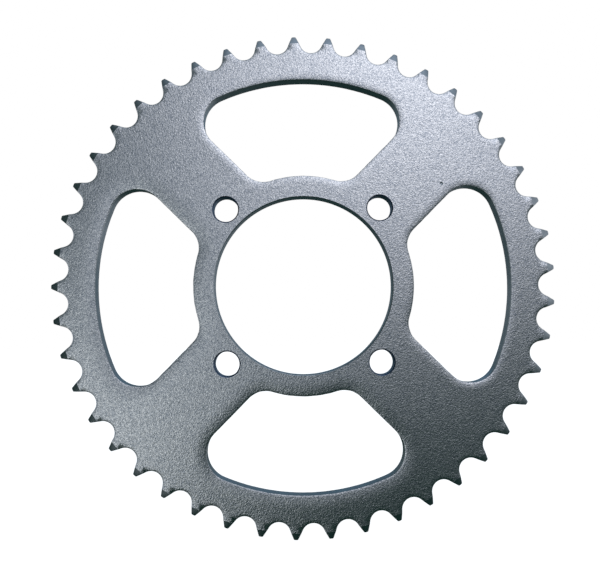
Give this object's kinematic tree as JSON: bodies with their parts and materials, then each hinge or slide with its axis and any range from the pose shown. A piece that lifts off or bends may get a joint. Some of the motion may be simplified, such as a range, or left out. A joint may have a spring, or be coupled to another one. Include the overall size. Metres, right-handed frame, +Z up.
{
  "type": "motorcycle rear sprocket",
  "caption": "Flat toothed steel chainwheel for a light motorcycle's rear hub, with a large centre bore, bolt holes in the spoke roots and curved lightening windows.",
  "frame": {"origin": "on the spin axis, at the centre of the hub bore, halfway through the plate's thickness", "axes": "Y is the spin axis: -Y points out of the outer face, where the bolt heads or nuts sit, and +Y towards the wheel hub. +Z is up through the middle of one window, and +X is to the right of someone who looks at the outer face."},
  "size_m": [0.1862, 0.007, 0.1863],
  "materials": {
    "zinc_plated_steel": "satin, bright zinc plating over blanked steel plate"
  },
  "bodies": {
    "root": {"sprocket_plate": "zinc_plated_steel"}
  },
  "joints": []
}
